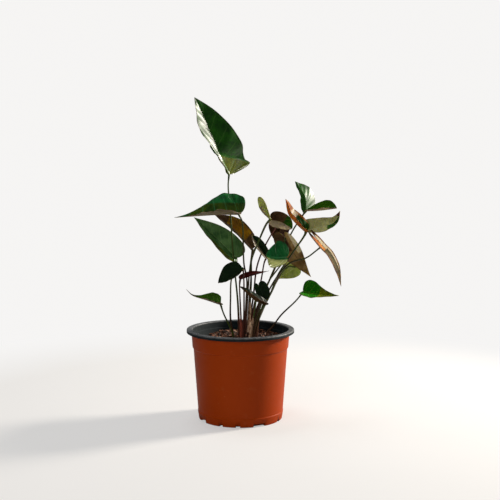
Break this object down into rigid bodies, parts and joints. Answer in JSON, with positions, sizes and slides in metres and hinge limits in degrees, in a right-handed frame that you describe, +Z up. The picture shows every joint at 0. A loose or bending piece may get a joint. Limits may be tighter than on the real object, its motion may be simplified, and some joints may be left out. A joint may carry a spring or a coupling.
{
  "type": "potted flamingo flower",
  "caption": "Flamingo flower between blooms: heart-shaped and arrow-shaped leaves on slender stalks rising from bark mix in a round plastic nursery pot.",
  "frame": {"origin": "centre of the pot's flat underside, on the surface that it stands on", "axes": "+Z up the pot's axis, +X to the right and +Y away from the side that the picture shows"},
  "size_m": [0.2321, 0.15, 0.445],
  "materials": {
    "pot_plastic": "satin terracotta plastic, dark grey inside and on the rim",
    "bark_mix": "damp crumbly bark and coir",
    "leaf_green": "smooth waxy leaf",
    "leaf_bronze": "smooth young bronze leaf",
    "leaf_stalk": "smooth satin stalk, olive to maroon"
  },
  "bodies": {
    "root": {"pot": "pot_plastic", "potting_mix": "bark_mix", "blade_crown": "leaf_green", "stalk_crown": "leaf_stalk", "blade_left_top": "leaf_green", "stalk_left_top": "leaf_stalk", "blade_left_mid": "leaf_green", "stalk_left_mid": "leaf_stalk", "blade_bronze": "leaf_bronze", "stalk_bronze": "leaf_stalk", "blade_edge": "leaf_green", "stalk_edge": "leaf_stalk", "blade_front": "leaf_green", "stalk_front": "leaf_stalk", "blade_right_bronze": "leaf_bronze", "stalk_right_bronze": "leaf_stalk", "blade_right_pale": "leaf_green", "stalk_right_pale": "leaf_stalk", "blade_small_top": "leaf_green", "stalk_small_top": "leaf_stalk", "blade_centre_top": "leaf_green", "stalk_centre_top": "leaf_stalk", "blade_dark_back": "leaf_bronze", "stalk_dark_back": "leaf_stalk", "blade_high_upright": "leaf_green", "stalk_high_upright": "leaf_stalk", "blade_high_right": "leaf_green", "stalk_high_right": "leaf_stalk", "blade_orange": "leaf_bronze", "stalk_orange": "leaf_stalk", "blade_right_top": "leaf_green", "stalk_right_top": "leaf_stalk", "blade_drooping": "leaf_green", "stalk_drooping": "leaf_stalk", "blade_right_low": "leaf_green", "stalk_right_low": "leaf_stalk", "blade_left_low": "leaf_green", "stalk_left_low": "leaf_stalk", "blade_dark_low": "leaf_green", "stalk_dark_low": "leaf_stalk", "blade_furled": "leaf_bronze", "stalk_furled": "leaf_stalk", "blade_low_heart": "leaf_green", "stalk_low_heart": "leaf_stalk", "blade_low_tan": "leaf_green", "stalk_low_tan": "leaf_stalk"}
  },
  "joints": []
}
